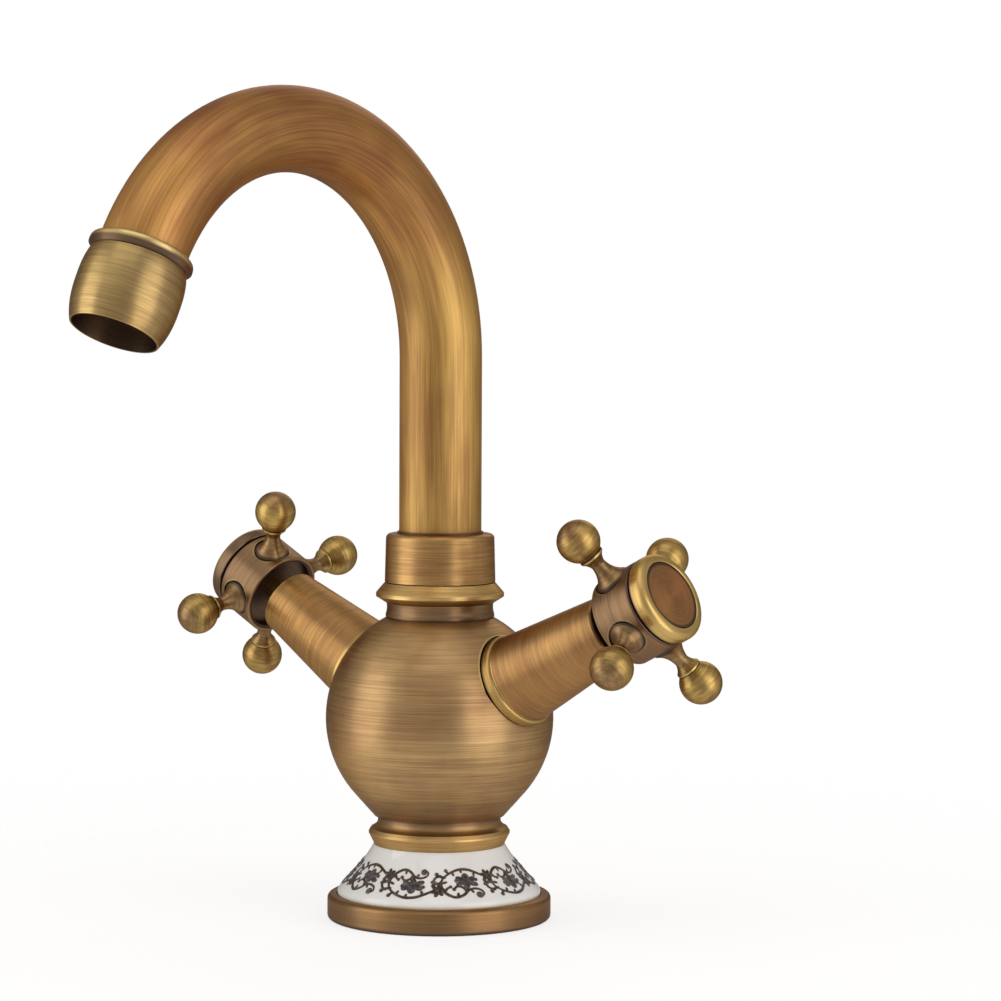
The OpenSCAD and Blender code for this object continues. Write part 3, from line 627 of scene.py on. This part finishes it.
def make_materials():
    """Gives every CAD node its material."""
    paint_body()
    paint_spout()
    for side in ("hot", "cold"):
        paint_side(side)
    paint(plain_material("slip_dark", (0.220, 0.115, 0.050, 1), 0.5, 1.0), "spout_slip_ring")
    paint(plain_material("aerator_grey", (0.20, 0.18, 0.15, 1), 0.45), "aerator_body")
    paint(plain_material("rubber_black", (0.022, 0.022, 0.024, 1), 0.75), "base_gasket",
          "spout_o_rings", "aerator_washer", *each_side("cartridge_seal", "stem_o_rings"))
    paint(plain_material("brass_plain", (0.62, 0.42, 0.16, 1), 0.35, 1.0), "spout_ferrule",
          *each_side("cartridge_body", "stem"))
    paint(plain_material("steel_satin", (0.52, 0.50, 0.46, 1), 0.32, 1.0), "aerator_screen",
          *each_side("retaining_clip", "handle_screw"))
    paint(plain_material("ceramic_ground", (0.74, 0.71, 0.66, 1), 0.35),
          *each_side("fixed_disc", "moving_disc"))


# ---------------------------------------------------------------------------------------------
# Raised vine round the porcelain
# ---------------------------------------------------------------------------------------------
VINE_CELLS = 10
VINE_PITCH = 15.4 * MM
VINE_Z = 12.9 * MM
# How far a step along the slope of the skirt rises
VINE_CLIMB = 0.743
# Distance from the axis at which rays towards the porcelain start
RAY_START = 100 * MM


class Relief:
    """A mesh of low strokes and domes that lie on the porcelain."""

    def __init__(self, name, slot, material):
        self.name, self.slot, self.material = name, slot, material
        self.points, self.faces = [], []
        self.skirt = BVHTree.FromObject(nodes["porcelain_skirt"],
                                        bpy.context.evaluated_depsgraph_get())
        self.radius = VINE_CELLS * VINE_PITCH / (2 * math.pi)

    def lay(self, x, y, height):
        """The point on the porcelain at x round the skirt and y up its slope, raised by height."""
        angle = CAMERA_AZIMUTH + x / self.radius
        outwards = Vector((math.sin(angle), -math.cos(angle), 0))
        start = outwards * RAY_START + UP * (VINE_Z + y * VINE_CLIMB)
        place, normal, _, _ = self.skirt.ray_cast(start, -outwards)
        return place + normal * height

    def stroke(self, path, widths, height=0.17 * MM):
        """A rounded line along path, whose half width goes through widths from end to end."""
        section = [(-1, -0.3), (-0.72, 0.72), (0, 1), (0.72, 0.72), (1, -0.3)]
        first = len(self.points)
        last = len(path) - 1
        for i, (x, y) in enumerate(path):
            ahead, behind = path[min(i + 1, last)], path[max(i - 1, 0)]
            heading = math.atan2(ahead[1] - behind[1], ahead[0] - behind[0])
            half = sample(widths, i / last)
            for side, rise in section:
                self.points.append(self.lay(
                    x - math.sin(heading) * half * side,
                    y + math.cos(heading) * half * side,
                    rise * min(height, half * 0.8),
                ))
        size = len(section)
        for i in range(last):
            for k in range(size - 1):
                a = first + i * size + k
                self.faces.append((a, a + 1, a + size + 1, a + size))
        for end in (first, first + last * size):
            self.faces.append(tuple(range(end, end + size)))

    def dome(self, x, y, length, width, turn=0.0, height=0.2 * MM):
        """A low oval dome, length and width being its half sizes."""
        first = len(self.points)
        self.points.append(self.lay(x, y, height))
        around, rings = 12, (0.55, 0.85, 1.0)
        for ring in rings:
            rise = height * (math.sqrt(1 - ring * ring) - (0.25 if ring == 1 else 0))
            for k in range(around):
                a = 2 * math.pi * k / around
                along, aside = length * ring * math.cos(a), width * ring * math.sin(a)
                self.points.append(self.lay(
                    x + along * math.cos(turn) - aside * math.sin(turn),
                    y + along * math.sin(turn) + aside * math.cos(turn),
                    rise,
                ))
        for k in range(around):
            after = (k + 1) % around
            self.faces.append((first, first + 1 + k, first + 1 + after))
            for ring in range(len(rings) - 1):
                a = first + 1 + ring * around
                self.faces.append((a + k, a + around + k, a + around + after, a + after))

    def finish(self):
        """Makes the mesh, which rides on the body."""
        mesh = bpy.data.meshes.new(self.name)
        mesh.from_pydata(self.points, [], self.faces)
        mesh.materials.append(self.material)
        mesh.shade_smooth()
        piece = bpy.data.objects.new(self.name, mesh)
        scene.collection.objects.link(piece)
        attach(piece, "body")


def sample(values, t):
    """The value at t, from 0 to 1, of evenly spaced values."""
    place = t * (len(values) - 1)
    i = min(int(place), len(values) - 2)
    return values[i] + (values[i + 1] - values[i]) * (place - i)


def smooth_path(points, steps=6):
    """A smooth path (Catmull-Rom) through points, given in millimetres."""
    padded = [points[0], *points, points[-1]]
    path = []
    for a, b, c, d in zip(padded, padded[1:], padded[2:], padded[3:]):
        for i in range(steps):
            t = i / steps
            path.append(tuple(
                0.5 * MM * (2 * q + (r - p) * t + (2 * p - 5 * q + 4 * r - s) * t * t
                            + (3 * q - p - 3 * r + s) * t ** 3)
                for p, q, r, s in zip(a, b, c, d)
            ))
    path.append((points[-1][0] * MM, points[-1][1] * MM))
    return path


def vine_cell(vine, blossom, start, flip):
    """One loop of vine, from a low flower to a high one, or upside down when flip is -1. The
    points of its strokes and petals are in millimetres from start, and headings in degrees."""
    def place(*points):
        return [(start + x, flip * y) for x, y in smooth_path(points)]

    def petal(piece, x, y, length, width, heading, height=0.24 * MM):
        piece.dome(start + x * MM, flip * y * MM, length * MM, width * MM,
                   flip * math.radians(heading), height)

    stem = [0.30 * MM, 0.50 * MM, 0.40 * MM]
    side = [0.46 * MM, 0.34 * MM]
    # The two long branches of the loop, and then its side shoots
    vine.stroke(place((2.0, 2.2), (3.8, 3.5), (6.8, 4.5), (9.6, 4.3), (11.8, 3.4),
                      (13.7, 2.4)), stem)
    vine.stroke(place((2.4, 2.6), (1.3, 1.3), (1.0, 0.0), (1.4, -1.8), (2.9, -3.4), (4.9, -4.2),
                      (6.9, -3.5), (8.5, -2.1), (10.3, -1.7), (12.0, -2.3), (12.5, -3.4),
                      (11.8, -4.1)), [*stem, 0.24 * MM])
    vine.stroke(place((3.7, 3.3), (3.1, 3.4), (2.6, 4.1)), side)
    vine.stroke(place((2.4, 2.1), (1.0, 2.2), (-0.1, 2.9)), side)
    vine.stroke(place((7.9, -2.5), (7.0, -1.2), (5.6, -0.8), (4.6, -1.5)), side)
    vine.stroke(place((2.0, -2.4), (2.6, -1.5), (3.4, -1.0)), side)
    vine.stroke(place((14.4, 0.9), (14.2, -0.8), (14.9, -2.0), (16.0, -2.4)), side)
    vine.stroke(place((8.2, -2.2), (8.4, -0.8), (8.2, 0.4)), side)
    # Round buds, and leaves along the branches
    for x, y, size in ((2.5, 4.2, 0.62), (-0.3, 3.0, 0.65), (4.5, -1.7, 0.58), (11.2, -3.7, 1.05),
                       (3.6, -0.9, 0.50), (14.1, 0.6, 0.55), (16.2, -2.4, 0.50)):
        petal(blossom, x, y, size, size, 0, 0.30 * MM)
    for x, y, length, width, heading in ((4.6, 3.2, 0.9, 0.40, -70), (2.0, 0.4, 0.9, 0.40, 20),
                                         (11.3, 2.9, 0.9, 0.40, 70), (5.4, -3.5, 0.9, 0.40, 80),
                                         (7.2, 4.0, 0.8, 0.36, -80), (9.4, -2.4, 0.8, 0.36, -60)):
        petal(vine, x, y, length, width, heading)
    # The low flower: six petals round a bud, and two leaves above it
    for k in range(6):
        heading = 60 * k + 15
        turn = math.radians(heading)
        petal(vine, 1.15 * math.cos(turn), 1.15 * math.sin(turn) - 2.1, 1.00, 0.62, heading)
    petal(blossom, 0, -2.1, 0.55, 0.55, 0, 0.34 * MM)
    petal(blossom, -0.9, 0.3, 1.35, 0.62, 160)
    petal(blossom, 0.6, 0.2, 0.9, 0.5, 25)
    # The high flower: wide petals, and then the darker marks on them
    for x, y, length, width, heading in (
        (8.3, 2.0, 1.35, 1.25, 90), (6.6, 1.3, 1.60, 0.98, 150), (10.0, 1.2, 1.60, 0.98, 25),
        (6.4, 0.0, 1.30, 0.76, 200), (10.4, -0.2, 1.45, 0.80, -15), (8.3, -0.4, 1.25, 1.10, 90),
        (8.4, 0.9, 1.50, 1.10, 0), (5.3, 0.9, 0.6, 0.45, 110), (11.5, 1.0, 0.6, 0.45, 60),
    ):
        petal(blossom, x, y, length, width, heading, 0.26 * MM)
    for x, y, length, width, heading in (
        (8.2, 2.2, 0.55, 0.28, 90), (6.9, 1.3, 0.70, 0.22, 150), (9.8, 1.2, 0.70, 0.22, 25),
        (8.3, -0.6, 0.60, 0.30, 90), (8.3, 0.8, 0.55, 0.55, 0), (7.0, 0.2, 0.5, 0.2, 200),
    ):
        petal(vine, x, y, length, width, heading, 0.36 * MM)


def enamel_material(name, dark, light):
    """Fired enamel, mottled from dark to light."""
    shader = Shader(name)
    patches = shader.noise(object_place(shader), 700.0)
    colour = shader.mix(shader.spread(patches, 0.35, 0.68), dark, light)
    return shader.set(Base_Color=colour, Roughness=0.35, Coat_Weight=0.4, Coat_Roughness=0.1,
                      Normal=shader.bump(patches, 0.03 * MM, 0.4))


def make_vine():
    """The vine and its blossoms: each stretch is the one before it, upside down."""
    vine = Relief("vine_stems", "vine_enamel", enamel_material(
        "enamel_vine", (0.014, 0.007, 0.004, 1), (0.085, 0.042, 0.020, 1)))
    blossom = Relief("vine_blossoms", "blossom_enamel", enamel_material(
        "enamel_blossom", (0.018, 0.016, 0.020, 1), (0.120, 0.098, 0.112, 1)))
    for i in range(VINE_CELLS):
        vine_cell(vine, blossom, i * VINE_PITCH, 1 if i % 2 == 0 else -1)
    vine.finish()
    blossom.finish()


# ---------------------------------------------------------------------------------------------
# Floor and room
# ---------------------------------------------------------------------------------------------
FLOOR_RADIUS = 0.6
# Where the floor begins to fade, where it is gone, and how clear it is up to the first
FADE_START, FADE_END, LEAST_CLEAR = 0.03, 0.40, 0.6

# Light of the room on the metal, behind the object and on the camera's side of it, and the
# cosines of the angle from the camera between which it goes from the one to the other
ROOM_BEHIND, ROOM_BEFORE = 0.24, 0.56
ROOM_FROM, ROOM_TO = -1.0, 0.2
# What is left of it right round the camera's place, and the cosines between which it lessens
VIEWER_SHADE = 0.65
VIEWER_FROM, VIEWER_TO = 0.70, 0.98


def make_floor():
    """A plain pale floor that fades away, so that no horizon shows."""
    bpy.ops.mesh.primitive_circle_add(vertices=96, radius=FLOOR_RADIUS, fill_type="NGON")
    floor = bpy.context.object
    floor.name = "floor"
    shader = Shader("floor_pale")
    distance = shader.vector("LENGTH", object_place(shader))
    clear = shader.add("BsdfTransparent")
    blend = shader.add("MixShader")
    fade = shader.spread(distance, FADE_START, FADE_END, LEAST_CLEAR, 1.0)
    for socket, value in zip(blend.inputs, (fade, shader.surface.outputs[0], clear.outputs[0])):
        shader.put(socket, value)
    shader.put(shader.output.inputs["Surface"], blend.outputs[0])
    shader.set(Base_Color=(0.92, 0.92, 0.915, 1), Roughness=0.8,
               Emission_Color=(1, 1, 1, 1), Emission_Strength=0.36)
    floor.data.materials.append(shader.material)


def make_world():
    """White to the camera; to the metal, a soft room that is darker behind the object, and a
    little darker again round the viewer."""
    world = bpy.data.worlds.new("studio")
    world.use_nodes = True
    scene.world = world
    tree = world.node_tree
    room = next(n for n in tree.nodes if n.type == "BACKGROUND")
    output = next(n for n in tree.nodes if n.type == "OUTPUT_WORLD")
    room.inputs["Color"].default_value = (1, 0.95, 0.91, 1)
    direction = tree.nodes.new("ShaderNodeTexCoord").outputs["Generated"]
    towards = tree.nodes.new("ShaderNodeVectorMath")
    towards.operation = "DOT_PRODUCT"
    towards.inputs[1].default_value = (math.sin(CAMERA_AZIMUTH), -math.cos(CAMERA_AZIMUTH), 0)
    tree.links.new(direction, towards.inputs[0])
    strength = tree.nodes.new("ShaderNodeMath")
    strength.operation = "MULTIPLY"
    for factor, numbers in zip(strength.inputs, (
        (ROOM_FROM, ROOM_TO, ROOM_BEHIND, ROOM_BEFORE),
        (VIEWER_FROM, VIEWER_TO, 1.0, VIEWER_SHADE),
    )):
        level = tree.nodes.new("ShaderNodeMapRange")
        level.interpolation_type = "SMOOTHSTEP"
        for socket, number in zip(list(level.inputs)[1:], numbers):
            socket.default_value = number
        tree.links.new(towards.outputs["Value"], level.inputs["Value"])
        tree.links.new(level.outputs[0], factor)
    tree.links.new(strength.outputs[0], room.inputs["Strength"])
    white = tree.nodes.new("ShaderNodeBackground")
    white.inputs["Color"].default_value = (1, 1, 1, 1)
    path = tree.nodes.new("ShaderNodeLightPath")
    seen = tree.nodes.new("ShaderNodeMixShader")
    for socket, value in zip(seen.inputs, (path.outputs["Is Camera Ray"], room.outputs[0],
                                           white.outputs[0])):
        tree.links.new(value, socket)
    tree.links.new(seen.outputs[0], output.inputs["Surface"])


make_camera()
scene.view_settings.view_transform = "Standard"
make_world()
make_floor()
soft_box("left_box", -76, 8, 1.1, (0.75, 1.2), 3.2)
soft_box("right_box", 49, 6, 1.1, (0.85, 1.2), 4.2)
soft_box("top_box", -20, 72, 1.1, (0.9, 0.9), 1.3)
soft_box("back_box", 170, 30, 1.2, (0.9, 0.6), 1.5)
make_materials()
make_vine()
